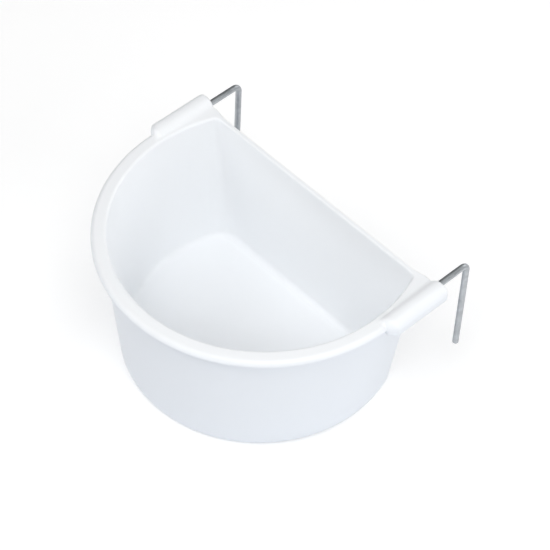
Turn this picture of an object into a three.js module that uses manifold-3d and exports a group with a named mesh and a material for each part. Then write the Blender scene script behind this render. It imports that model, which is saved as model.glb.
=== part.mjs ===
import * as THREE from "three";
import { mergeVertices } from "three/addons/utils/BufferGeometryUtils.js";
import Module from "manifold-3d";

// A hook-on bird drinker: a half-round plastic cup with its flat side to the cage,
// and a bent wire hook pushed into a moulded socket at each end of its rim.
// Millimetres. Z is up, X runs along the flat back, and the cage is on the +Y side.
// The base lies at Z = 0 and the arc of the rim is struck about the Z axis. The arc of the base
// is smaller and struck a little further forward, so the wall leans in most at its two ends.

// Overall sizes of the cup
const rimRadius = 52.5;
const height = 49.4;
const backTopY = 21;
const rimWidth = 5;
const rimThickness = 2.6;

// Cup walls
const wallThickness = 1.8;
const arcTaper = 5.1;
const backTaper = 2;
const baseForward = 2.6;
const floorThickness = 2.2;
const topCornerRadius = 4;
const baseCornerRadius = 10;
const baseEdgeRadius = 3.4;
const floorFillet = 2;

// Edges of the rim, and of the thinner top of the flat back
const rimTopEdge = 1.6;
const rimLowerEdge = 0.5;
const rimUndersideRise = 0.3;
const rimRootFillet = 0.8;
const mouthEdge = 1;
const backTopEdge = 0.6;

// Sockets at the ends of the rim
const socketWidth = 6.7;
const socketLength = 22.7;
const socketPastRim = 2.7;
const socketPastBack = 1.4;
const socketRise = 1.5;
const socketBelow = 1.6;
const socketInnerEdge = 2.6;
const socketOuterEdge = 2.2;
const socketLowerEdge = 1.2;
const socketEndEdge = 1.1;
const socketSlant = 2.2;
const socketFloor = 3;
const boreInset = 1.9;
const boreBelowRim = 1.2;
const webSlant = 3;
const webPastBack = 0.8;

// Wire hooks
const wireDiameter = 2;
const wireRunning = 0.1;
const wireEndGap = 0.5;
const wireEndChamfer = 0.3;
const hookReach = 12.1;
const hookDrop = 35.4;
const hookBendRadius = 2.2;
const hookLeanIn = 1.8;

// Smoothness of the curved faces
const arcPoints = 61;
const cornerPoints = 7;
const edgeSteps = 4;
const edgeTurnSteps = 5;
const wireSides = 20;
const boreSides = 40;
const bendSteps = 8;

// How far a cutting body passes the face that it opens
const overrun = 5;

// Sizes that follow from the ones above
const mouthRadius = rimRadius - rimWidth;
const wallTopRadius = mouthRadius + wallThickness;
const wallBaseRadius = wallTopRadius - arcTaper;
const backBaseY = backTopY - backTaper;
const rimUnderside = height - rimThickness;
const socketOuterX = rimRadius + socketPastRim;
const socketInnerX = socketOuterX - socketWidth;
const socketTop = height + socketRise;
const socketBottom = rimUnderside - socketBelow;
const socketBackY = backTopY + socketPastBack;
const socketFrontY = socketBackY - socketLength;
const boreX = rimRadius - boreInset;
const boreZ = height - boreBelowRim;
const wireRadius = wireDiameter / 2;
const boreRadius = wireRadius + wireRunning;
const boreEndY = socketFrontY + socketFloor;
const hookBackY = socketBackY + hookReach;
const webCornerX = Math.sqrt(mouthRadius ** 2 - backTopY ** 2);
const webShoulderX = webCornerX + webSlant;
const webBackY = backTopY + webPastBack;

const wasm = await Module();
wasm.setup();

// A closed solid from a three.js geometry, ready to be added to or cut from another
function solid(geometry) {
  const bare = geometry.clone();
  bare.deleteAttribute("normal");
  bare.deleteAttribute("uv");
  const merged = mergeVertices(bare);
  return new wasm.Manifold(
    new wasm.Mesh({
      numProp: 3,
      vertProperties: new Float32Array(merged.attributes.position.array),
      triVerts: new Uint32Array(merged.index.array),
    }),
  );
}

// A solid back as a three.js geometry
function geometryOf(body) {
  const mesh = body.getMesh();
  const geometry = new THREE.BufferGeometry();
  const positions = [];
  for (let i = 0; i < mesh.numVert; i += 1) {
    const start = i * mesh.numProp;
    positions.push(...mesh.vertProperties.subarray(start, start + 3));
  }
  geometry.setAttribute("position", new THREE.Float32BufferAttribute(positions, 3));
  geometry.setIndex([...mesh.triVerts]);
  return geometry;
}

// A closed skin over a stack of outlines with equal numbers of points, filled at both ends
function skin(outlines) {
  const count = outlines[0].length;
  const positions = outlines.flat().flatMap((point) => point.toArray());
  const indices = [];
  for (let level = 0; level + 1 < outlines.length; level += 1) {
    for (let i = 0; i < count; i += 1) {
      const next = (i + 1) % count;
      const below = level * count;
      const above = below + count;
      indices.push(below + i, below + next, above + next);
      indices.push(below + i, above + next, above + i);
    }
  }
  const ends = [outlines[0], outlines[outlines.length - 1]];
  ends.forEach((outline, side) => {
    const middle = new THREE.Vector3();
    outline.forEach((point) => middle.add(point));
    middle.divideScalar(count);
    const centre = positions.length / 3;
    positions.push(...middle.toArray());
    const first = side * (outlines.length - 1) * count;
    for (let i = 0; i < count; i += 1) {
      const next = (i + 1) % count;
      indices.push(centre, first + (side ? i : next), first + (side ? next : i));
    }
  });
  const geometry = new THREE.BufferGeometry();
  geometry.setAttribute("position", new THREE.Float32BufferAttribute(positions, 3));
  geometry.setIndex(indices);
  return geometry;
}

// Angles from one value to another in equal steps, both ends included
function sweep(from, to, count) {
  return Array.from({ length: count }, (_, i) => from + ((to - from) * i) / (count - 1));
}

// Plan of the cup at one level: an arc about a middle on the Y axis, cut by the straight back,
// with rounded corners
function plan({ radius, middleY = 0, backY, cornerRadius, level }) {
  const cornerY = backY - cornerRadius;
  const cornerX = Math.sqrt((radius - cornerRadius) ** 2 - (cornerY - middleY) ** 2);
  const meeting = Math.atan2(cornerY - middleY, cornerX);
  const arc = sweep(Math.PI - meeting, 2 * Math.PI + meeting, arcPoints).map(
    (a) => new THREE.Vector3(radius * Math.cos(a), middleY + radius * Math.sin(a), level),
  );
  const corner = (side, angles) =>
    angles.map(
      (a) =>
        new THREE.Vector3(
          side * cornerX + cornerRadius * Math.cos(a),
          cornerY + cornerRadius * Math.sin(a),
          level,
        ),
    );
  const right = corner(1, sweep(meeting, Math.PI / 2, cornerPoints).slice(1));
  const left = corner(-1, sweep(Math.PI / 2, Math.PI - meeting, cornerPoints).slice(0, -1));
  return [...arc, ...right, ...left];
}

// Outside of the cup: rounded base edge, drafted wall, and the rim that stands out round the arc
const baseEdge = sweep(0, Math.PI / 2, edgeSteps + 1).map((a) => ({
  radius: wallBaseRadius - baseEdgeRadius * (1 - Math.sin(a)),
  middleY: -baseForward,
  backY: backBaseY - baseEdgeRadius * (1 - Math.sin(a)),
  cornerRadius: baseCornerRadius - baseEdgeRadius * (1 - Math.sin(a)),
  level: baseEdgeRadius * (1 - Math.cos(a)),
}));
const rimRoot = sweep(0, Math.PI / 2, edgeSteps + 1).map((a) => ({
  radius: wallTopRadius + rimRootFillet * (1 - Math.cos(a)),
  backY: backTopY,
  cornerRadius: topCornerRadius,
  level: rimUnderside - rimRootFillet * (1 - Math.sin(a)),
}));
const rimLower = sweep(0, Math.PI / 2, edgeSteps + 1).map((a) => ({
  radius: rimRadius - rimLowerEdge * (1 - Math.sin(a)),
  backY: backTopY,
  cornerRadius: topCornerRadius,
  level: rimUnderside + rimUndersideRise + rimLowerEdge * (1 - Math.cos(a)),
}));
const rimUpper = sweep(0, Math.PI / 2, edgeSteps + 1).map((a) => ({
  radius: rimRadius - rimTopEdge * (1 - Math.cos(a)),
  backY: backTopY - backTopEdge * (1 - Math.cos(a)),
  cornerRadius: topCornerRadius - backTopEdge * (1 - Math.cos(a)),
  level: height - rimTopEdge * (1 - Math.sin(a)),
}));
let cup = solid(skin([...baseEdge, ...rimRoot, ...rimLower, ...rimUpper].map(plan)));

// Inside of the cup: flat floor, fillet, drafted wall, and an eased mouth edge
const innerBaseLevel = floorThickness + floorFillet;
const innerTop = {
  radius: mouthRadius,
  backY: backTopY - wallThickness,
  cornerRadius: topCornerRadius - wallThickness,
};
const innerBase = {
  radius: wallBaseRadius - wallThickness,
  backY: backBaseY - wallThickness,
  cornerRadius: baseCornerRadius - wallThickness,
};
const floorEdge = sweep(0, Math.PI / 2, edgeSteps + 1).map((a) => ({
  radius: innerBase.radius - floorFillet * (1 - Math.sin(a)),
  middleY: -baseForward,
  backY: innerBase.backY - floorFillet * (1 - Math.sin(a)),
  cornerRadius: innerBase.cornerRadius - floorFillet * (1 - Math.sin(a)),
  level: innerBaseLevel - floorFillet * Math.cos(a),
}));
const mouth = sweep(0, Math.PI / 2, edgeSteps + 1).map((a) => ({
  radius: innerTop.radius + mouthEdge * (1 - Math.cos(a)),
  backY: innerTop.backY + backTopEdge * (1 - Math.cos(a)),
  cornerRadius: innerTop.cornerRadius + backTopEdge * (1 - Math.cos(a)),
  level: height - mouthEdge * (1 - Math.sin(a)),
}));
const above = { ...mouth[mouth.length - 1], level: height + overrun };
const cavity = solid(skin([...floorEdge, ...mouth, above].map(plan)));

// Plane outline from corners, each rounded by its own radius
function rounded(corners) {
  const shape = new THREE.Shape();
  const at = corners.map(([x, y]) => new THREE.Vector2(x, y));
  corners.forEach(([, , radius], i) => {
    const before = at[(i + at.length - 1) % at.length].clone().sub(at[i]).normalize();
    const after = at[(i + 1) % at.length].clone().sub(at[i]).normalize();
    const half = Math.acos(before.dot(after)) / 2;
    const reach = radius / Math.tan(half);
    const start = at[i].clone().addScaledVector(before, reach);
    const end = at[i].clone().addScaledVector(after, reach);
    if (i) shape.lineTo(start.x, start.y);
    else shape.moveTo(start.x, start.y);
    const middle = before.clone().add(after).normalize();
    const centre = at[i].clone().addScaledVector(middle, radius / Math.sin(half));
    const from = Math.atan2(start.y - centre.y, start.x - centre.x);
    const to = Math.atan2(end.y - centre.y, end.x - centre.x);
    if (radius) shape.absarc(centre.x, centre.y, radius, from, to, false);
  });
  return shape;
}

// Solid of an outline drawn in X and Z, drawn out along Y between two planes, its end edges eased
function alongY(outline, frontY, backY, edge) {
  const body = new THREE.ExtrudeGeometry(outline, {
    depth: backY - frontY - 2 * edge,
    bevelSize: edge,
    bevelOffset: -edge,
    bevelThickness: edge,
    bevelSegments: edgeSteps,
    curveSegments: edgeTurnSteps,
  });
  body.rotateX(Math.PI / 2);
  body.translate(0, backY - edge, 0);
  return body;
}

// Solid of an outline drawn in X and Y, standing between two levels, its edges eased
function upright(outline, low, high, edge) {
  const body = new THREE.ExtrudeGeometry(outline, {
    depth: high - low - 2 * edge,
    bevelEnabled: edge > 0,
    bevelSize: edge,
    bevelOffset: -edge,
    bevelThickness: edge,
    bevelSegments: edgeSteps,
    curveSegments: edgeTurnSteps,
  });
  body.translate(0, 0, low + edge);
  return body;
}

// Socket: a rounded block along Y at the end of the rim, standing a little above and below it,
// its front outer corner cut off at a slant
const socketBlock = alongY(
  rounded([
    [socketInnerX, socketBottom, 0],
    [socketOuterX, socketBottom, socketLowerEdge],
    [socketOuterX, socketTop, socketOuterEdge],
    [socketInnerX, socketTop, socketInnerEdge],
  ]),
  socketFrontY,
  socketBackY,
  socketEndEdge,
);
const slantCut = upright(
  new THREE.Shape([
    new THREE.Vector2(socketOuterX - socketSlant, socketFrontY),
    new THREE.Vector2(socketOuterX - socketSlant, socketFrontY - overrun),
    new THREE.Vector2(socketOuterX + overrun, socketFrontY - overrun),
    new THREE.Vector2(socketOuterX + overrun, socketFrontY + socketSlant),
    new THREE.Vector2(socketOuterX, socketFrontY + socketSlant),
  ]),
  socketBottom - overrun,
  socketTop + overrun,
  0,
);

// Web that carries the rim out from the wall to the socket and a little past the flat back
const web = upright(
  new THREE.Shape([
    new THREE.Vector2(webCornerX, backTopY - topCornerRadius),
    new THREE.Vector2(socketInnerX, socketFrontY + socketSlant),
    new THREE.Vector2(boreX, socketFrontY + socketSlant),
    new THREE.Vector2(boreX, webBackY),
    new THREE.Vector2(webShoulderX, webBackY),
    new THREE.Vector2(webCornerX, backTopY),
  ]),
  rimUnderside,
  height,
  rimLowerEdge,
);

// Blind bore that takes the wire
const boreLength = socketBackY + overrun - boreEndY;
const bore = new THREE.CylinderGeometry(boreRadius, boreRadius, boreLength, boreSides);
bore.translate(boreX, boreEndY + boreLength / 2, boreZ);

const rightSocket = solid(socketBlock).subtract(solid(slantCut)).add(solid(web));
const leftSocket = rightSocket.mirror([1, 0, 0]);
const rightBore = solid(bore);
const leftBore = rightBore.mirror([1, 0, 0]);
cup = cup.add(rightSocket).add(leftSocket).subtract(cavity).subtract(rightBore).subtract(leftBore);

// One ring of points square to the wire, which turns from running back to hanging down
function wireRing(radius, y, z, turn) {
  return sweep(0, 2 * Math.PI, wireSides + 1)
    .slice(0, -1)
    .map(
      (a) =>
        new THREE.Vector3(
          radius * Math.cos(a),
          y + radius * Math.sin(a) * Math.sin(turn),
          z + radius * Math.sin(a) * Math.cos(turn),
        ),
    );
}

// Hook: a straight leg in the socket, a tight bend of just over a right angle, and a longer leg that
// hangs down and leans in towards the cup
function hookGeometry() {
  const lean = Math.asin(hookLeanIn / hookDrop);
  const lastTurn = Math.PI / 2 + lean;
  const bendReach = hookBendRadius * Math.tan(lastTurn / 2);
  const startY = boreEndY + wireEndGap;
  const bendY = hookBackY - bendReach;
  const bendZ = boreZ - hookBendRadius;
  const tip = (inset) => ({
    y: hookBackY - (hookDrop - inset) * Math.sin(lean),
    z: boreZ - (hookDrop - inset) * Math.cos(lean),
  });
  const cutRadius = wireRadius - wireEndChamfer;
  const rings = [
    wireRing(cutRadius, startY, boreZ, 0),
    wireRing(wireRadius, startY + wireEndChamfer, boreZ, 0),
  ];
  sweep(0, lastTurn, bendSteps + 1).forEach((turn) => {
    const y = bendY + hookBendRadius * Math.sin(turn);
    const z = bendZ + hookBendRadius * Math.cos(turn);
    rings.push(wireRing(wireRadius, y, z, turn));
  });
  rings.push(wireRing(wireRadius, tip(wireEndChamfer).y, tip(wireEndChamfer).z, lastTurn));
  rings.push(wireRing(cutRadius, tip(0).y, tip(0).z, lastTurn));
  return skin(rings.reverse());
}

// Finished pieces
const whitePlastic = new THREE.MeshStandardMaterial({ color: "white", roughness: 0.35 });
const zincWire = new THREE.MeshStandardMaterial({ color: "silver", metalness: 1, roughness: 0.4 });

const drinker = new THREE.Group();
drinker.name = "hook_on_bird_drinker";

const cupMesh = new THREE.Mesh(geometryOf(cup), whitePlastic);
cupMesh.name = "cup";
drinker.add(cupMesh);

const hookNames = { left_hook: -1, right_hook: 1 };
Object.entries(hookNames).forEach(([name, side]) => {
  const hook = new THREE.Mesh(hookGeometry(), zincWire);
  hook.name = name;
  hook.position.x = side * boreX;
  drinker.add(hook);
});

export default drinker;
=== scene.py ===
# %% [markdown]
# # A hook-on bird drinker
# A half-round white plastic cup hangs on cage bars from two bent wires. The real thing has only three
# pieces: one moulding, which is cup, rim and sockets in one, and a wire on each side.
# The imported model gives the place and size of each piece. Its faces are flat facets, so this lesson makes
# each piece again with smooth faces and soft edges, and gives it the finish of its material.

# %% The fixed frame
import math

import bmesh
import bpy
from mathutils import Matrix, Vector
from mathutils.bvhtree import BVHTree


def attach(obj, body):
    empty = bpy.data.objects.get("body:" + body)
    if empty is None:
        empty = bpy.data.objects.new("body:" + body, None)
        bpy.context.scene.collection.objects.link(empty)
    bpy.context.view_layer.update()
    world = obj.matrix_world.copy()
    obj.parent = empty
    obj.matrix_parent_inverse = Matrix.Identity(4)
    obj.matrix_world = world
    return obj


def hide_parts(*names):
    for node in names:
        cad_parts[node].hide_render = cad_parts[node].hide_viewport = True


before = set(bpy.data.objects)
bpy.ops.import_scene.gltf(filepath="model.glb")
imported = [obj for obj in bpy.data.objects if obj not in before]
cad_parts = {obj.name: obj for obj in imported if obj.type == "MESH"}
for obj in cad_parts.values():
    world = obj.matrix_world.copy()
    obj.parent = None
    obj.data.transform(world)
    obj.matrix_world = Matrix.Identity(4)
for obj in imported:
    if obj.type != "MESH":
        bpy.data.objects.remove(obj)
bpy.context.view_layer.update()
MM = 0.001

# %% [markdown]
# ## The camera
# The photo looks down at the cup from its front right. A long lens far away keeps the ring of the rim
# nearly free of perspective. The angle, the distance and the focal length were fitted together to the
# rim, the mouth, the base and the two wires, so they only work as a set.

# %% The camera
AZIMUTH = 47.57
ELEVATION = 49.74
DISTANCE = 668.9 * MM
FOCAL_LENGTH = 143.48
TARGET = Vector((4.19, 0, 30.21)) * MM


def way_to(azimuth, elevation):
    """Unit vector at an angle round the cup, 0 being its front, and an angle above the ground."""
    azimuth, elevation = math.radians(azimuth), math.radians(elevation)
    level = math.cos(elevation)
    return Vector((math.sin(azimuth) * level, -math.cos(azimuth) * level, math.sin(elevation)))


camera_data = bpy.data.cameras.new("camera")
camera_data.lens = FOCAL_LENGTH
camera_data.clip_start = 20 * MM
camera = bpy.data.objects.new("camera", camera_data)
camera.location = TARGET + DISTANCE * way_to(AZIMUTH, ELEVATION)
camera.rotation_euler = way_to(AZIMUTH, ELEVATION).to_track_quat("Z", "Y").to_euler()
bpy.context.scene.collection.objects.link(camera)
bpy.context.scene.camera = camera
print("camera at", [round(c, 4) for c in camera.location])

# %% [markdown]
# ## Sizes of the moulding
# The sizes are in millimetres and are the same as the solids'. The arc of the base is smaller than the
# arc of the rim and is struck further forward, because the wall leans in most near its two ends.

# %% Sizes of the moulding
HEIGHT = 49.4
RIM_RADIUS = 52.5
RIM_WIDTH = 5.0
RIM_THICKNESS = 2.6
BACK_TOP = 21.0  # from the arc's middle to the flat back, at the rim
WALL = 1.8
FLOOR = 2.2
ARC_TAPER = 5.1  # the arc's radius is this much smaller at the base
BACK_TAPER = 2.0
BASE_FORWARD = 2.6
TOP_CORNER = 4.0
BASE_CORNER = 10.0

MOUTH_RADIUS = RIM_RADIUS - RIM_WIDTH
WALL_TOP_RADIUS = MOUTH_RADIUS + WALL
BASE_RADIUS = WALL_TOP_RADIUS - ARC_TAPER
BASE_BACK = BACK_TOP - BACK_TAPER
UNDERSIDE = HEIGHT - RIM_THICKNESS
print("mouth radius", MOUTH_RADIUS, "mm, base radius", round(BASE_RADIUS, 2), "mm")

# %% [markdown]
# ## The outline of the cup at one level
# From above, the cup is an arc cut by a straight back, with rounded corners between the two. Such an
# outline could be drawn as a curve and filled, but a skin over many levels needs more: each of its rings
# must have the same number of points, in the same directions. So each point of a ring is found by walking
# out from the Z axis in its own direction until the outline is met.
# The directions stand closest together at the two sides, and one of them goes to each corner of the rim.

# %% Corners of the rim's outline
SOCKET_BACK = BACK_TOP + 1.4
BORE_X = RIM_RADIUS - 1.9
SHOULDER_FRONT = 1.9
SHOULDER_BACK = SOCKET_BACK - 0.6
SLOPE_START = math.sqrt(MOUTH_RADIUS**2 - BACK_TOP**2)
SLOPE_END = SLOPE_START + 3.0

corner_marks = sorted(
    math.degrees(math.atan2(y, x))
    for x, y in [(BORE_X, SHOULDER_FRONT), (BORE_X, SHOULDER_BACK), (SLOPE_END, SHOULDER_BACK),
                 (SLOPE_START, BACK_TOP)]
)
print("corners of the rim's outline at", [round(mark, 1) for mark in corner_marks], "degrees")

# %% Directions of the points
SIDE_END = 34.0
SIDE_STEP, BACK_STEP, FRONT_STEP = 0.5, 2.0, 1.25


def between(start, end, step):
    """Values from start up to just before end, about step apart."""
    count = max(1, round((end - start) / step))
    return [start + (end - start) * i / count for i in range(count)]


right_side = []
stops = [0.0, *corner_marks, SIDE_END]
for start, end in zip(stops, stops[1:]):
    right_side += between(start, end, SIDE_STEP)
back_side = between(SIDE_END, 180 - SIDE_END, BACK_STEP)
left_side = [180 - angle for angle in reversed(right_side[1:] + [SIDE_END])]
front_side = between(180, 360, FRONT_STEP)
DIRECTIONS = [math.radians(angle) for angle in right_side + back_side + left_side + front_side]
print("points in a ring:", len(DIRECTIONS))


# %% Where a direction meets the outline
def meet_cup(angle, radius, middle, back, corner):
    """Point of the half-round outline in a direction: arc, rounded corner or straight back."""
    across, along = abs(math.cos(angle)), math.sin(angle)
    side = 1 if math.cos(angle) >= 0 else -1
    corner_y = back - corner
    corner_x = math.sqrt((radius - corner) ** 2 - (corner_y - middle) ** 2)
    stretch = radius / (radius - corner)
    corner_start = math.atan2(middle + stretch * (corner_y - middle), stretch * corner_x)
    corner_end = math.atan2(back, corner_x)
    folded = math.atan2(along, across)
    if folded > corner_end:
        reach = back / along
    elif folded > corner_start:
        past = corner_x * along - corner_y * across
        reach = corner_x * across + corner_y * along + math.sqrt(corner**2 - past**2)
    else:
        reach = along * middle + math.sqrt(radius**2 - (middle * across) ** 2)
    return side * reach * across, reach * along


mouth_side = meet_cup(0.0, MOUTH_RADIUS, 0, BACK_TOP - WALL, TOP_CORNER - WALL)[0]
print("the mouth is", round(2 * mouth_side, 2), "mm wide")


# %% [markdown]
# ## The outline of the rim
# At the two ends of the arc the rim runs out into a flat shoulder, which carries the wire socket and
# stands a little behind the back of the cup. The shoulder could be a plate of its own, pushed into the
# cup. It is made as part of the rim's own outline instead, so that one soft edge runs round both.

# %% Where a direction meets the rim
TINY = 1e-6  # keeps rounding and a division by zero out of the choice of side


def meet_rim(angle, inset, back_inset):
    """Point of the rim's outline in a direction: arc, shoulder, the slope beside it or straight back."""
    across, along = abs(math.cos(angle)), math.sin(angle)
    side = 1 if math.cos(angle) >= 0 else -1
    if math.degrees(math.atan2(along, across)) < corner_marks[0] - TINY:
        reach = RIM_RADIUS - inset
    else:
        back, shoulder = BACK_TOP - back_inset, SHOULDER_BACK - back_inset
        run, rise = SLOPE_END - SLOPE_START, shoulder - back
        slope = (shoulder * run - SLOPE_END * rise) / (along * run - across * rise)
        edge = (BORE_X - inset) / max(across, TINY)
        reach = min(max(slope, back / along), shoulder / along, edge)
    return side * reach * across, reach * along


print("the shoulder ends at y =", round(SHOULDER_BACK, 2), "mm, and the back at y =", BACK_TOP, "mm")


# %% [markdown]
# ## A sleeve of rings
# Nearly all of the moulding, and the wires too, can be made in one way: shape a circle of points into the
# first ring, extrude its edges, shape the new points into the next ring, and go on. Each point carries
# its own number in a layer, which the extrusion copies, so a point always knows its place in the ring.
# A lathe, which Blender calls spin, would be shorter, but it only makes round things.

# %% The sleeve helper
def points_of(parts):
    """The points among a bmesh's points, edges and faces."""
    return [part for part in parts if isinstance(part, bmesh.types.BMVert)]


def sleeve(rings, close="face"):
    """A skin over a row of rings, each a list of points in millimetres, closed at both ends."""
    bm = bmesh.new()
    number = bm.verts.layers.int.new("number")
    points = bmesh.ops.create_circle(bm, cap_ends=False, segments=len(rings[0]), radius=1.0)["verts"]
    for i, point in enumerate(points):
        point[number] = i
        point.co = Vector(rings[0][i]) * MM
    first_edges = last_edges = list(bm.edges)
    for ring in rings[1:]:
        made = bmesh.ops.extrude_edge_only(bm, edges=last_edges)["geom"]
        fresh = set(points_of(made))
        for point in fresh:
            point.co = Vector(ring[point[number]]) * MM
        last_edges = [part for part in made
                      if isinstance(part, bmesh.types.BMEdge) and set(part.verts) <= fresh]
    for ends in (first_edges, last_edges):
        if close == "point":
            corners = list(dict.fromkeys(point for edge in ends for point in edge.verts))
            middle = sum((point.co for point in corners), Vector()) / len(corners)
            tip = points_of(bmesh.ops.extrude_edge_only(bm, edges=ends)["geom"])
            bmesh.ops.pointmerge(bm, verts=tip, merge_co=middle)
        else:
            bmesh.ops.contextual_create(bm, geom=ends)
    print("a sleeve of", len(rings), "rings of", len(rings[0]), "points")
    return bm


# %% From a bmesh to a piece
DOUBLES = 0.0005 * MM


def finish_mesh(bm, name):
    """Turns a bmesh into a smooth object whose faces point outwards."""
    bmesh.ops.remove_doubles(bm, verts=bm.verts, dist=DOUBLES)
    bmesh.ops.recalc_face_normals(bm, faces=bm.faces)
    open_edges = sum(1 for edge in bm.edges if len(edge.link_faces) != 2)
    volume = bm.calc_volume(signed=True) / MM**3
    mesh = bpy.data.meshes.new(name)
    bm.to_mesh(mesh)
    bm.free()
    mesh.shade_smooth()
    piece = bpy.data.objects.new(name, mesh)
    bpy.context.scene.collection.objects.link(piece)
    print(f"{name}: {len(mesh.polygons)} faces, {volume:.1f} mm3, {open_edges} open edges")
    return piece


# %% [markdown]
# ## The levels of the cup
# The skin starts at a small mark in the middle of the underside, where the plastic entered the mould. It
# runs out under the base, up the wall, round the rim, down the inside, and ends in the middle of the floor.
# A bevel could round the edges afterwards, but not with a radius that changes along the rim. So every
# edge is an arc of rings of its own, with one extra ring beside it on each flat, which keeps the shading
# of the flat even right up to the edge.

# %% An edge as an arc
EDGE_STEPS = 8
SUPPORT = 0.06  # from an edge's arc to the extra ring beside it


def edge_arc(radius, steps=EDGE_STEPS):
    """Pairs over a quarter turn: the first value falls from the radius to 0, the second grows from 0."""
    turns = [math.radians(90.0 * i / steps) for i in range(steps + 1)]
    return [(radius * (1 - math.sin(turn)), radius * (1 - math.cos(turn))) for turn in turns]


print("an edge of 1 mm:", [(round(a, 2), round(b, 2)) for a, b in edge_arc(1.0, 4)])


# %% Rings of the cup
def cup_ring(radius, middle, back, corner, level):
    """One ring of the cup at one level."""
    return [(*meet_cup(angle, radius, middle, back, corner), level) for angle in DIRECTIONS]


def rim_ring(inset, back_inset, level):
    """One ring of the rim at one level."""
    return [(*meet_rim(angle, inset, back_inset), level) for angle in DIRECTIONS]


def base_ring(inset, level):
    """A ring of the outer base, moved in from the outside of the wall."""
    return cup_ring(BASE_RADIUS - inset, -BASE_FORWARD, BASE_BACK - inset, BASE_CORNER - inset, level)


def blend_rings(low, high, count):
    """Rings evenly between two rings, without the two themselves."""
    made = []
    for i in range(1, count):
        share = i / count
        made.append([tuple(a + (b - a) * share for a, b in zip(p, q)) for p, q in zip(low, high)])
    return made


print("the base is", round(2 * base_ring(0, 0)[0][0], 2), "mm wide")

# %% Levels of the outside
BASE_EDGE = 3.4
WALL_SPANS = 14
RIM_ROOT = 0.8
RIM_LOWER_EDGE = 0.5
RIM_TOP_EDGE = 1.6
BACK_EDGE = 0.6
RIM_LOW = UNDERSIDE + 0.3  # the rim's underside climbs a little on its way out

outside = [base_ring(BASE_EDGE + SUPPORT, 0.0)]
outside += [base_ring(inset, up) for inset, up in edge_arc(BASE_EDGE)]
root = [cup_ring(WALL_TOP_RADIUS + out, 0, BACK_TOP, TOP_CORNER, UNDERSIDE - down)
        for down, out in edge_arc(RIM_ROOT, 5)]
outside += blend_rings(outside[-1], root[0], WALL_SPANS) + root
outside.append(rim_ring(RIM_LOWER_EDGE + SUPPORT, 0, RIM_LOW))
outside += [rim_ring(inset, 0, RIM_LOW + up) for inset, up in edge_arc(RIM_LOWER_EDGE, 4)]
outside += [rim_ring(RIM_TOP_EDGE * inset, BACK_EDGE * inset, HEIGHT - RIM_TOP_EDGE * down)
            for down, inset in edge_arc(1.0)]
outside.append(rim_ring(RIM_TOP_EDGE + SUPPORT, BACK_EDGE + SUPPORT / 2, HEIGHT))
print("rings outside:", len(outside))

# %% Levels of the inside
MOUTH_EDGE = 1.0
FLOOR_FILLET = 2.0
MOUTH_SUPPORT = 1.04  # as a share of the mouth's edge


def mouth_ring(share, level):
    """A ring at the mouth, moved out over the rounded edge by a share of the edge's width."""
    back_outset = BACK_EDGE * share
    return cup_ring(MOUTH_RADIUS + MOUTH_EDGE * share, 0, BACK_TOP - WALL + back_outset,
                    TOP_CORNER - WALL + back_outset, level)


def floor_ring(inset, level):
    """A ring at the foot of the inside, moved in from the inside of the wall."""
    return cup_ring(BASE_RADIUS - WALL - inset, -BASE_FORWARD, BASE_BACK - WALL - inset,
                    BASE_CORNER - WALL - inset, level)


inside = [mouth_ring(MOUTH_SUPPORT, HEIGHT)]
inside += [mouth_ring(share, HEIGHT - MOUTH_EDGE * down) for share, down in edge_arc(1.0)]
foot = [floor_ring(inset, FLOOR + up) for up, inset in edge_arc(FLOOR_FILLET)]
inside += blend_rings(inside[-1], foot[0], WALL_SPANS) + foot
inside.append(floor_ring(FLOOR_FILLET + SUPPORT, FLOOR))
print("rings inside:", len(inside))

# %% [markdown]
# ## The middle of the base and of the floor
# The floor shrinks evenly towards one point. Under the base is the mark of the gate: a round dimple
# that keeps the small broken stub from touching the shelf. A dimple could be cut with a boolean, but
# rings that turn from the half-round outline into circles give clean faces and need no cut.

# %% Middle of the base and of the floor
GATE = Vector((0, -12, 0))
GATE_PROFILE = [  # radius and level of each circle, from the stub out to the flat of the base
    (0.75, 0.22), (0.85, 0.2), (0.95, 0.34), (2.6, 0.36), (2.85, 0.3), (3.0, 0.12), (3.15, 0.02),
    (3.3, 0.0), (5.0, 0.0),
]
BASE_SPANS = 5
FLOOR_SHARES = (0.8, 0.55, 0.3, 0.1)


def shrink(ring, share):
    """A ring moved part of the way to the gate's place, at its own level."""
    middle = Vector((GATE.x, GATE.y, ring[0][2]))
    return [tuple(middle.lerp(Vector(point), share)) for point in ring]


def gate_circle(ring, radius, level):
    """A circle round the gate with a point towards each point of the ring."""
    made = []
    for x, y, _ in ring:
        away = (Vector((x, y, 0)) - GATE).normalized() * radius
        made.append((GATE.x + away.x, GATE.y + away.y, level))
    return made


underside = [gate_circle(outside[0], radius, level) for radius, level in GATE_PROFILE]
underside += blend_rings(underside[-1], outside[0], BASE_SPANS)
floor_rings = [shrink(inside[-1], share) for share in FLOOR_SHARES]
cup_shell = finish_mesh(sleeve(underside + outside + inside + floor_rings, "point"), "cup_moulding")

# %% [markdown]
# ## The wire sockets
# Each socket is a rounded block along the end of the rim, with its front outer corner cut off. It could be
# cut from a cube whose edges are then bevelled, but its edges have very different radii, and the front
# end has to slope softly into the rim. So it is a sleeve as well: a section with four rounded corners that
# is drawn along the block and drawn in at both ends.
# Only the right one is made. The left one is its mirror image.

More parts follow.
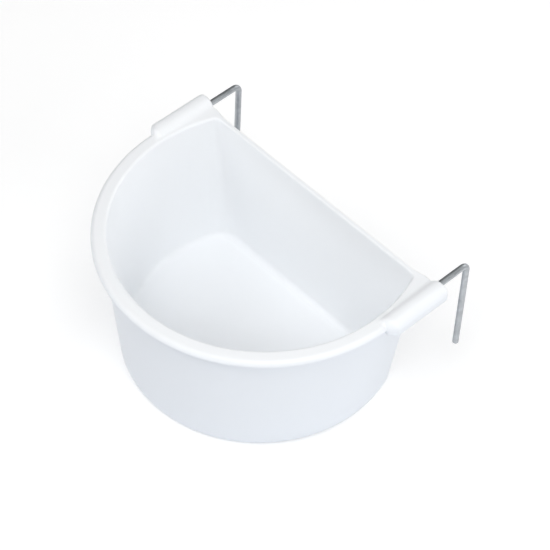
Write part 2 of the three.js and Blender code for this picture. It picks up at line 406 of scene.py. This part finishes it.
# %% Sizes of a socket
SOCKET_OUTER = RIM_RADIUS + 2.7
SOCKET_INNER = SOCKET_OUTER - 6.7
SOCKET_FRONT = SOCKET_BACK - 22.7
SOCKET_TOP = HEIGHT + 1.5
SOCKET_BOTTOM = UNDERSIDE - 1.6
CORNERS = {"inner top": 3.2, "outer top": 2.9, "outer foot": 1.2, "inner foot": 1.2}
CORNER_STEPS = 12
LEAST_CORNER = 0.15
TOP_FILL = 0.96  # the most of the top that its two corners may take together
SLANT = 2.2
SLANT_SOFT = 0.5
print("a socket runs from y =", round(SOCKET_FRONT, 2), "to", SOCKET_BACK, "mm")


# %% The section of a socket
def slant_at(y):
    """How far the slanted corner takes the outer side in, with a soft start."""
    left = SLANT - (y - SOCKET_FRONT)
    if left > SLANT_SOFT:
        return left
    return max(0.0, left + SLANT_SOFT) ** 2 / (4 * SLANT_SOFT)


def block_ring(y, top_in=0.0, inner_in=0.0, outer_in=0.0, foot_in=0.0):
    """The section at one place along the block, with each of its sides drawn in."""
    left, right = SOCKET_INNER + inner_in, SOCKET_OUTER - slant_at(y) - outer_in
    low, high = SOCKET_BOTTOM + foot_in, SOCKET_TOP - top_in
    wide = {name: max(LEAST_CORNER, radius - (inner_in if "inner" in name else outer_in))
            for name, radius in CORNERS.items()}
    tall = {name: max(LEAST_CORNER, radius - (top_in if "top" in name else foot_in))
            for name, radius in CORNERS.items()}
    fit = min(1.0, TOP_FILL * (right - left) / (wide["inner top"] + wide["outer top"]))
    ring = []
    for name, x, z, start in (("inner top", left, high, 180), ("outer top", right, high, 90),
                              ("outer foot", right, low, 0), ("inner foot", left, low, -90)):
        across, up = wide[name] * fit, tall[name]
        middle_x = x + across if x == left else x - across
        middle_z = z + up if z == low else z - up
        for i in range(CORNER_STEPS + 1):
            turn = math.radians(start - 90 * i / CORNER_STEPS)
            ring.append((middle_x + across * math.cos(turn), y, middle_z + up * math.sin(turn)))
    return ring


print("a section of the block:", len(block_ring(10)), "points")

# %% The block
FRONT_EDGE = 1.7
FRONT_DRAW = {"top_in": FRONT_EDGE, "inner_in": 1.0, "outer_in": 0.6, "foot_in": 0.9}
FRONT_STEPS = 10
END_EDGE = 1.1
SLANT_START = SOCKET_FRONT + FRONT_EDGE + 0.1
SLANT_END = SOCKET_FRONT + SLANT + SLANT_SOFT
SLANT_SPAN, LONG_SPAN = 0.15, 2.4

block = []
for drawn, along in edge_arc(1.0, FRONT_STEPS):
    block.append(block_ring(SOCKET_FRONT + FRONT_EDGE * along,
                            **{side: most * drawn for side, most in FRONT_DRAW.items()}))
block += [block_ring(y) for y in between(SLANT_START, SLANT_END, SLANT_SPAN)]
block += [block_ring(y) for y in between(SLANT_END, SOCKET_BACK - END_EDGE, LONG_SPAN)[:-1]]
block.append(block_ring(SOCKET_BACK - END_EDGE - SUPPORT))
block += [block_ring(SOCKET_BACK - left, drawn, drawn, drawn, drawn) for left, drawn in edge_arc(END_EDGE)]
socket = finish_mesh(sleeve(block), "socket_block")

# %% [markdown]
# ## The bore
# The wire sits in a blind bore, a hole that ends inside the block. Rings could run into the hole and
# out again, but the end face is no ring round the bore, so a drill is the plain way: a long cylinder that
# a boolean takes out of the block. A moulded hole has no sharp mouth. The edges that lie on its circle are
# picked out by their place, and a small bevel rounds them.

# %% Helpers for booleans
def combine(piece, operation, other):
    """Unites a piece with another one, or cuts it with that. The other piece is used up."""
    step = piece.modifiers.new("combine", "BOOLEAN")
    step.operation = operation
    step.solver = "EXACT"
    step.object = other
    bpy.context.view_layer.update()
    combined = bpy.data.meshes.new_from_object(
        piece.evaluated_get(bpy.context.evaluated_depsgraph_get()))
    piece.modifiers.clear()
    piece.data = combined
    bpy.data.objects.remove(other)
    print(f"{piece.name} after {operation.lower()}: {len(combined.polygons)} faces")


def open_again(piece, keep=False):
    """The piece's mesh as a bmesh. The piece itself goes, unless it is kept."""
    bm = bmesh.new()
    bm.from_mesh(piece.data)
    if not keep:
        bpy.data.objects.remove(piece)
    return bm


# %% The bore
BORE_Z = HEIGHT - 1.2
BORE_RADIUS = 1.1
BORE_END = SOCKET_FRONT + 3.0
DRILL_OUT = 5  # how far the drill stands out behind the block
DRILL_SIDES = 40
MOUTH_ROUND = 0.2
NEAR_FACE, NEAR_CIRCLE = 0.01, 0.02

bm = bmesh.new()
bmesh.ops.create_cone(bm, cap_ends=True, segments=DRILL_SIDES, radius1=BORE_RADIUS * MM,
                      radius2=BORE_RADIUS * MM, depth=(SOCKET_BACK + DRILL_OUT - BORE_END) * MM)
bmesh.ops.rotate(bm, cent=(0, 0, 0), matrix=Matrix.Rotation(math.radians(90), 3, "X"), verts=bm.verts)
bmesh.ops.translate(bm, vec=Vector((BORE_X, (SOCKET_BACK + DRILL_OUT + BORE_END) / 2, BORE_Z)) * MM,
                    verts=bm.verts)
combine(socket, "DIFFERENCE", finish_mesh(bm, "drill"))


def at_the_mouth(point):
    """True for a point on the circle where the bore comes out at the back."""
    x, y, z = point.co / MM
    off_circle = abs(math.hypot(x - BORE_X, z - BORE_Z) - BORE_RADIUS)
    return abs(y - SOCKET_BACK) < NEAR_FACE and off_circle < NEAR_CIRCLE


bm = open_again(socket)
mouth_edges = [edge for edge in bm.edges if all(map(at_the_mouth, edge.verts))]
bmesh.ops.bevel(bm, geom=mouth_edges, offset=MOUTH_ROUND * MM, offset_type="OFFSET", segments=3,
                profile=0.5, affect="EDGES", material=-1, clamp_overlap=False)
print("edges at the mouth of the bore:", len(mouth_edges))
socket = finish_mesh(bm, "socket_block")

# %% [markdown]
# ## The fillet at the foot of a socket
# Where the block stands on the rim, a mould leaves a hollow curve and no sharp line. The usual way is to
# unite the two and bevel the joint, but the union leaves thin faces beside it, and a bevel can't be wider
# than those. So the hollow is a bead of its own, like a bead of filler, that is united with them: a
# section swept along the foot, its outer face hollow and its other faces sunk into the rim and the block.
# Rays that are cast at the block find where the bead has to touch it.

# %% Where the bead touches
block_faces = BVHTree.FromPolygons([point.co for point in socket.data.vertices],
                                   [tuple(face.vertices) for face in socket.data.polygons])
RAY_START = 8.0
JUST_ABOVE = 0.002


def touch(start, outward, level):
    """Where a level ray from outside meets the block: how far in from the start, and the face's slope."""
    way = Vector((*outward, 0))
    origin = (Vector((*start, level)) + way * RAY_START) * MM
    _, normal, _, distance = block_faces.ray_cast(origin, -way)
    return distance / MM - RAY_START, normal.dot(way), normal.z


def bead_shape(start, outward, base, rise):
    """Foot, meeting point of the two tangents, and lean of a bead that rises so far up the block."""
    at_base = touch(start, outward, base + JUST_ABOVE)[0]
    at_top, out, up = touch(start, outward, base + rise)
    lean = at_top - at_base
    meeting = rise * up / out - lean
    return at_base, meeting + rise / out, meeting, lean


print("the block's side is met", round(touch((SOCKET_INNER, 10), (-1, 0), HEIGHT + JUST_ABOVE)[0], 3),
      "mm in")

# %% A section of the bead
HOLLOW_STEPS = 10
DIP_LOW, DIP_SIDE = 0.015, 0.01  # the hollow's two ends dip so far into the rim and the block
SUNK_LOW, SUNK_SIDE = 0.3, 0.5


def bead_ring(start, outward, base, rise):
    """A ring of the bead: hollow face first, then three points sunk in the block and the rim."""
    at_base, foot, meeting, lean = bead_shape(start, outward, base, rise)
    first, bend, last = Vector((foot, -DIP_LOW)), Vector((meeting, 0.0)), Vector((-lean - DIP_SIDE, rise))
    ring = []
    for step in range(HOLLOW_STEPS + 1):
        share = step / HOLLOW_STEPS
        ring.append(first.lerp(bend, share).lerp(bend.lerp(last, share), share))
    ring += [Vector((-lean - SUNK_SIDE, rise - SUNK_SIDE / 2)), Vector((-lean - SUNK_SIDE, -SUNK_LOW)),
             Vector((foot / 2, -SUNK_LOW))]
    return [(start[0] + outward[0] * (p.x - at_base), start[1] + outward[1] * (p.x - at_base), base + p.y)
            for p in ring]


print("a section of the bead:", len(bead_ring((SOCKET_INNER, 10), (-1, 0), HEIGHT, 0.5)), "points")

# %% The bead
SIDE_PLACES = (21.2, 20.6, 19.6, 18.4, 17, 15.6, 14.2, 12.8, 11.4, 10, 8.6, 7.2, 5.8, 4.6, 3.6, 2.8)
RISES = [0.02 * step for step in range(4, 41)]  # from 0.08 to 0.8 mm
FRONT_RISE = 0.9
TURNING = (SOCKET_INNER + 2.2, SOCKET_FRONT + 2.4)
TURN_ANGLES = range(10, 91, 8)
FRONT_PLACES = (51.0, 51.3, 51.6, 51.9, 52.15, 52.35)
FRONT_FALL = 0.35

bead_rings = []
for y in SIDE_PLACES:  # along the side, as high as the room beside the mouth allows
    place = (SOCKET_INNER, y)
    mouth_edge = math.sqrt((MOUTH_RADIUS + MOUTH_EDGE) ** 2 - y**2)
    room = SOCKET_INNER + touch(place, (-1, 0), HEIGHT + JUST_ABOVE)[0] - mouth_edge
    fits = [rise for rise in RISES if bead_shape(place, (-1, 0), HEIGHT, rise)[1] < room]
    side_rise = max(fits or RISES[:1])
    bead_rings.append(bead_ring(place, (-1, 0), HEIGHT, side_rise))
for angle in TURN_ANGLES:  # round the front inner corner
    turn = math.radians(angle)
    share = (1 - math.cos(2 * turn)) / 2
    bead_rings.append(bead_ring(TURNING, (-math.cos(turn), -math.sin(turn)), HEIGHT,
                                side_rise + (FRONT_RISE - side_rise) * share))
for x in FRONT_PLACES:  # along the front, down over the rim's soft edge
    over = max(0.0, x - (RIM_RADIUS - RIM_TOP_EDGE))
    level = HEIGHT - (RIM_TOP_EDGE - math.sqrt(RIM_TOP_EDGE**2 - over**2))
    bead_rings.append(bead_ring((x, SOCKET_FRONT), (0, -1), level,
                                FRONT_RISE - FRONT_FALL * (x - FRONT_PLACES[0])))
bead = finish_mesh(sleeve(bead_rings), "socket_bead")
print("rise of the bead at the front end of the side:", round(side_rise, 2), "mm, and at the front:",
      FRONT_RISE, "mm")

# %% [markdown]
# ## One moulding
# Cup, sockets and beads are one piece of plastic. Meshes that are only joined look the same from outside,
# but they keep their faces inside the plastic, which a print or a sum of the volume would show. So booleans
# unite them into one closed skin. The left socket is a mirrored copy of the right one. The mirroring scale
# turns its faces round, so those are turned back.

# %% Uniting the moulding
SHARP = math.radians(40)

combine(socket, "UNION", bead)
bm = open_again(socket, keep=True)
bmesh.ops.scale(bm, vec=(-1, 1, 1), verts=bm.verts)
bmesh.ops.reverse_faces(bm, faces=bm.faces)
left_socket = finish_mesh(bm, "left_socket")
combine(cup_shell, "UNION", socket)
combine(cup_shell, "UNION", left_socket)

bm = open_again(cup_shell)
bmesh.ops.dissolve_degenerate(bm, edges=bm.edges, dist=DOUBLES)
cup_shell = finish_mesh(bm, "cup_moulding")
cup_shell.data.set_sharp_from_angle(angle=SHARP)
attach(cup_shell, "cup")
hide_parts("cup")

# %% [markdown]
# ## The wire hooks
# Each hook is a length of 2 mm wire, bent once over a former and cropped at both ends with a cutter, which
# leaves a faint ridge across the end. A curve with a round bevel would give the shape too. The sleeve is
# used instead, because then each point can also carry its place on the straight wire, from before it
# was bent, and the drawing lines of the zinc can follow the bend.

# %% Sizes of a hook
WIRE = 1.0  # radius
HOOK_BACK = SOCKET_BACK + 12.1
HOOK_DROP = 35.4
HOOK_LEAN = 1.8  # the lower end stands this much nearer to the cup
BEND = 2.2
BEND_STEPS = 18
ROUND = 32
START_CROP = ((0.45, 0.0, -0.1), (0.72, 0.03, -0.05), (0.9, 0.12, 0), (0.98, 0.24, 0), (1, 0.4, 0))
END_CROP = ((1, 0.4, 0), (0.98, 0.24, 0), (0.9, 0.12, 0), (0.72, 0.05, 0.03), (0.45, 0.06, 0.06))

lean = math.asin(HOOK_LEAN / HOOK_DROP)
last_turn = math.pi / 2 + lean
bend_y = HOOK_BACK - BEND * math.tan(last_turn / 2)
bend_z = BORE_Z - BEND
wire_start = BORE_END + 0.5
print("the wire turns by", round(math.degrees(last_turn), 1), "degrees")

# %% Stations along the wire
# Each holds a radius, y and z, the wire's turn, the crop's ridge, and the length of wire up to there.
stations = [(radius * WIRE, wire_start + along, BORE_Z, 0.0, ridge, along)
            for radius, along, ridge in START_CROP]
straight_from = stations[-1][1]
for share in (0.25, 0.5, 0.75):
    y = straight_from + (bend_y - straight_from) * share
    stations.append((WIRE, y, BORE_Z, 0.0, 0, y - wire_start))
for step in range(BEND_STEPS + 1):
    turn = last_turn * step / BEND_STEPS
    stations.append((WIRE, bend_y + BEND * math.sin(turn), bend_z + BEND * math.cos(turn), turn, 0,
                     bend_y - wire_start + BEND * turn))

_, leg_y, leg_z, _, _, leg_start = stations[-1]
leg = math.hypot(HOOK_BACK - HOOK_DROP * math.sin(lean) - leg_y, BORE_Z - HOOK_DROP * math.cos(lean) - leg_z)
for radius, from_end, ridge in ((1, leg * 0.75, 0), (1, leg * 0.5, 0), (1, leg * 0.25, 0), *END_CROP):
    along = leg - from_end
    stations.append((radius * WIRE, leg_y - along * math.sin(lean), leg_z - along * math.cos(lean),
                     last_turn, ridge, leg_start + along))
print("wire in one hook:", round(stations[-1][5], 1), "mm")


# %% The hooks
def wire_ring(radius, y, z, turn, ridge):
    """A ring square to the wire, its middle line pushed out along the wire by the crop's ridge."""
    ring = []
    for i in range(ROUND):
        angle = 2 * math.pi * i / ROUND
        up = radius * math.sin(angle)
        out = ridge * (1 - abs(math.sin(angle)))
        ring.append((
            radius * math.cos(angle),
            y + up * math.sin(turn) + out * math.cos(turn),
            z + up * math.cos(turn) - out * math.sin(turn),
        ))
    return ring


PATTERN_SHIFT = 90  # the two wires show different stretches of the zinc's pattern


def make_hook(name, side, body, node):
    """One hook, which carries the place of each point on the unbent wire."""
    bm = sleeve([[(x + side * BORE_X, y, z) for x, y, z in wire_ring(*station[:5])] for station in stations])
    straight = bm.verts.layers.float_vector.new("straight_wire")
    number = bm.verts.layers.int["number"]
    for i, point in enumerate(bm.verts):
        along = stations[i // ROUND][5]
        angle = 2 * math.pi * point[number] / ROUND
        point[straight] = Vector((math.cos(angle), math.sin(angle), along + side * PATTERN_SHIFT)) * MM
    piece = finish_mesh(bm, name)
    piece.data.set_sharp_from_angle(angle=SHARP)
    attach(piece, body)
    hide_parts(node)
    return piece


left_wire = make_hook("left_wire", -1, "left_hook", "left_hook")
right_wire = make_hook("right_wire", 1, "right_hook", "right_hook")


# %% [markdown]
# ## Writing a shader as sums
# A material is a graph of nodes. Drawn by hand it is easy to follow, but in a script it soon turns into
# pages of links. The two small classes below let a sum such as 0.3 + 0.1 * cloud add its own Math nodes.
# Colours and vectors don't go through sums: they have the Mix and Vector Math nodes.

# %% Sums of sockets
class Field:
    """A number that changes over the surface."""

    def __init__(self, finish, socket):
        self.finish = finish
        self.socket = socket

    def maths(self, operation, first, second):
        return self.finish.node("ShaderNodeMath", {"operation": operation}, {0: first, 1: second})

    def __add__(self, other):
        return self.maths("ADD", self, other)

    __radd__ = __add__

    def __mul__(self, other):
        return self.maths("MULTIPLY", self, other)

    __rmul__ = __mul__

    def __rsub__(self, other):
        return self.maths("SUBTRACT", other, self)


# %% A finish and its nodes
class Finish:
    """The nodes of a material or of the sky, and the one method that adds them."""

    def __init__(self, owner, shader="Principled BSDF"):
        owner.use_nodes = True
        self.owner = owner
        self.tree = owner.node_tree
        self.shader = self.tree.nodes[shader]

    def node(self, kind, settings=None, inputs=None, output=0):
        made = self.tree.nodes.new(kind)
        for key, value in (settings or {}).items():
            setattr(made, key, value)
        for key, value in (inputs or {}).items():
            self.put(made.inputs[key], value)
        return Field(self, made.outputs[output])

    def put(self, socket, value):
        if isinstance(value, Field):
            self.tree.links.new(value.socket, socket)
        else:
            socket.default_value = value

    def mix(self, share, first, second):
        """Mixes two colours by a share."""
        first, second = ((*c, 1) if isinstance(c, tuple) else c for c in (first, second))
        return self.node("ShaderNodeMix", {"data_type": "RGBA"}, {0: share, 6: first, 7: second}, 2)

    def ramp(self, value, low, high):
        """0 below low and 1 above high, softly in between."""
        return self.node("ShaderNodeMapRange", {"interpolation_type": "SMOOTHSTEP"},
                         {"Value": value, "From Min": low, "From Max": high})

    def noise(self, place, scale, detail=2.0, roughness=0.5):
        return self.node("ShaderNodeTexNoise", {}, {"Vector": place, "Scale": scale, "Detail": detail,
                                                    "Roughness": roughness})

    def dress(self, piece):
        piece.data.materials.clear()
        piece.data.materials.append(self.owner)
        print(piece.name, "wears", self.owner.name, "with", len(self.tree.nodes), "nodes")


# %% [markdown]
# ## White plastic
# The cup is a moulded plastic of a very slightly blue white, with a soft gloss and no texture. A single
# white would look like paper or paint. What makes it plastic is small: the gloss changes a little from
# place to place, the skin has a faint ripple from the mould, and the lowest two millimetres turn
# greyer and duller in patches. All of it is worked out from the place on the piece.

# %% White plastic
CLOUDS, RIPPLES, BOTTOM_SPOTS, GRAINS = 55.0, 160.0, 420.0, 1400.0  # waves per metre
COOL_WHITE, PALE_WHITE, BOTTOM_GREY = (0.943, 0.962, 0.985), (0.955, 0.972, 0.99), (0.70, 0.72, 0.75)
BOTTOM_GREY_SHARE = 0.35
GREY_FADE_LOW, GREY_FADE_HIGH = 0.2 * MM, 2.2 * MM  # the grey, duller patches fade out between these levels
RIPPLE_DEPTH = 0.05 * MM

plastic = Finish(bpy.data.materials.new("white_plastic"))
place = plastic.node("ShaderNodeTexCoord", output="Object")
cloud = plastic.noise(place, CLOUDS, 3.0)
skin = plastic.noise(place, GRAINS, 2.0)
ripple = plastic.noise(place, RIPPLES, 1.0)
level = plastic.node("ShaderNodeSeparateXYZ", {}, {"Vector": place}, "Z")
# The lowest two millimetres are mixed towards a grey and made duller, in patches from a noise.
low_down = 1 - plastic.ramp(level, GREY_FADE_LOW, GREY_FADE_HIGH)
grey_dull_patches = low_down * plastic.ramp(plastic.noise(place, BOTTOM_SPOTS, 4.0), 0.35, 0.7)

white = plastic.mix(cloud, COOL_WHITE, PALE_WHITE)
shader = plastic.shader.inputs
plastic.put(shader["Base Color"], plastic.mix(grey_dull_patches * BOTTOM_GREY_SHARE, white, BOTTOM_GREY))
plastic.put(shader["Roughness"], 0.36 + 0.1 * cloud + 0.04 * skin + 0.25 * grey_dull_patches)
plastic.put(shader["Normal"], plastic.node(
    "ShaderNodeBump", {}, {"Strength": 0.35, "Distance": RIPPLE_DEPTH, "Height": 0.25 * skin + ripple}))
shader["IOR"].default_value = 1.49
plastic.dress(cup_shell)

# %% [markdown]
# ## Galvanised wire
# Zinc wire is grey and dull beside the plastic. Drawing through a die leaves fine lines along the wire,
# and the zinc has small patches of lighter and darker grey. Object coordinates would do for a straight
# wire, but here the lines would run straight on through the bend. So lines and patches are read from the
# place on the unbent wire, which each point carries, and follow the bend as they do on a real one.

# %% Galvanised wire
BLOOMS, PATCHES, DRAWN_LINES = 260.0, 700.0, 5200.0  # waves per metre
LINE_STRETCH = 0.06  # the lines change this much more slowly along the wire
DARK_ZINC, PALE_ZINC = (0.33, 0.347, 0.368), (0.6, 0.63, 0.655)
LINE_DEPTH = 0.03 * MM

zinc = Finish(bpy.data.materials.new("galvanised_wire"))
run = zinc.node("ShaderNodeAttribute", {"attribute_name": "straight_wire"}, {}, "Vector")
long_run = zinc.node("ShaderNodeMapping", {}, {"Vector": run, "Scale": (1.0, 1.0, LINE_STRETCH)})
lines = zinc.noise(long_run, DRAWN_LINES, 3.0, 0.6)
patches = zinc.node("ShaderNodeTexVoronoi", {"feature": "SMOOTH_F1"},
                    {"Vector": run, "Scale": PATCHES, "Smoothness": 0.6}, "Color")
patch = zinc.node("ShaderNodeRGBToBW", {}, {"Color": patches})
bloom = zinc.noise(run, BLOOMS, 3.0)

tone = 0.45 * patch + 0.3 * bloom + 0.25 * lines
shader = zinc.shader.inputs
zinc.put(shader["Base Color"], zinc.mix(tone, DARK_ZINC, PALE_ZINC))
zinc.put(shader["Roughness"], 0.34 + 0.16 * bloom + 0.1 * lines)
zinc.put(shader["Normal"], zinc.node(
    "ShaderNodeBump", {}, {"Strength": 0.5, "Distance": LINE_DEPTH, "Height": lines + 0.4 * patch}))
shader["Metallic"].default_value = 1.0
for wire in (left_wire, right_wire):
    zinc.dress(wire)

# %% [markdown]
# ## The floor
# The photo has a plain white ground. A board as white as that would throw so much light back at the cup
# that its shaded sides go flat. So the board looks different to different rays. The light that it throws
# back at the cup is that of a slightly blue, pale grey. The camera and the reflections see a plain pale grey
# with a white glow over it, which reads as white and still takes the soft shadow of the cup.

# %% The floor
BOARD_HALF = 1.6
THROWN_BACK, SEEN = (0.66, 0.705, 0.775), (0.7, 0.7, 0.7)
GLOW = 0.42

bm = bmesh.new()
bmesh.ops.create_grid(bm, x_segments=8, y_segments=8, size=BOARD_HALF)
floor = finish_mesh(bm, "studio_floor")
board = Finish(bpy.data.materials.new("studio_board"))
board.shader.inputs["Roughness"].default_value = 0.9
board.shader.inputs["Specular IOR Level"].default_value = 0.0
seen = board.node("ShaderNodeLightPath", output="Is Camera Ray")
for kind in ("Is Glossy Ray", "Is Transmission Ray"):
    ray = board.node("ShaderNodeLightPath", output=kind)
    seen = board.node("ShaderNodeMath", {"operation": "MAXIMUM"}, {0: seen, 1: ray})
board.put(board.shader.inputs["Base Color"], board.mix(seen, THROWN_BACK, SEEN))

glow = board.node("ShaderNodeEmission", {}, {"Color": (1, 1, 1, 1), "Strength": seen * GLOW})
plain = Field(board, board.shader.outputs[0])
both = board.node("ShaderNodeAddShader", {}, {0: plain, 1: glow})
board.put(board.tree.nodes["Material Output"].inputs["Surface"], both)
board.dress(floor)

# %% [markdown]
# ## The lamps and the sky
# The light in the photo is very soft, and a little stronger from the camera's right. One big lamp could
# be that soft, but not that even, so there are five square lamps. The main one stands above the camera and
# close by, which lets its light fall off to the far side. Their powers were fitted to the tones of rim,
# wall and inside, and they stay low enough that the rim's white keeps its shape. The sky is white for
# the camera and gives the cup only a tenth of that light.

# %% The lamps
LAMPS = (
    # name, angle round the cup, angle above the ground, distance and size in metres, power in watts
    ("above", 48, 60, 0.72, 0.48, 2.44),
    ("left", -30, 30, 0.9, 0.6, 2.5),
    ("upper left", -40, 60, 0.9, 0.6, 0.9),
    ("right", 90, 20, 0.7, 0.47, 1.66),
    ("behind", 172, 30, 0.9, 0.6, 2.9),
)
LAMP_TARGET = Vector((0, 0, 30)) * MM

for name, azimuth, elevation, distance, size, power in LAMPS:
    lamp_data = bpy.data.lights.new(name, "AREA")
    lamp_data.shape = "SQUARE"
    lamp_data.size = size
    lamp_data.energy = power
    lamp = bpy.data.objects.new(name, lamp_data)
    lamp.location = LAMP_TARGET + way_to(azimuth, elevation) * distance
    lamp.rotation_euler = way_to(azimuth, elevation).to_track_quat("Z", "Y").to_euler()
    bpy.context.scene.collection.objects.link(lamp)
    print(name, "at", [round(c, 2) for c in lamp.location], "with", power, "W")

# %% The sky
SKY_LIGHT = 0.1

sky = Finish(bpy.data.worlds.new("sky"), "Background")
bpy.context.scene.world = sky.owner
sky.shader.inputs["Color"].default_value = (1, 1, 1, 1)
seen = sky.node("ShaderNodeLightPath", output="Is Camera Ray")
sky.put(sky.shader.inputs["Strength"], SKY_LIGHT + (1 - SKY_LIGHT) * seen)
bpy.context.scene.view_settings.view_transform = "Standard"
print("sky: 1 for the camera,", SKY_LIGHT, "for the cup")
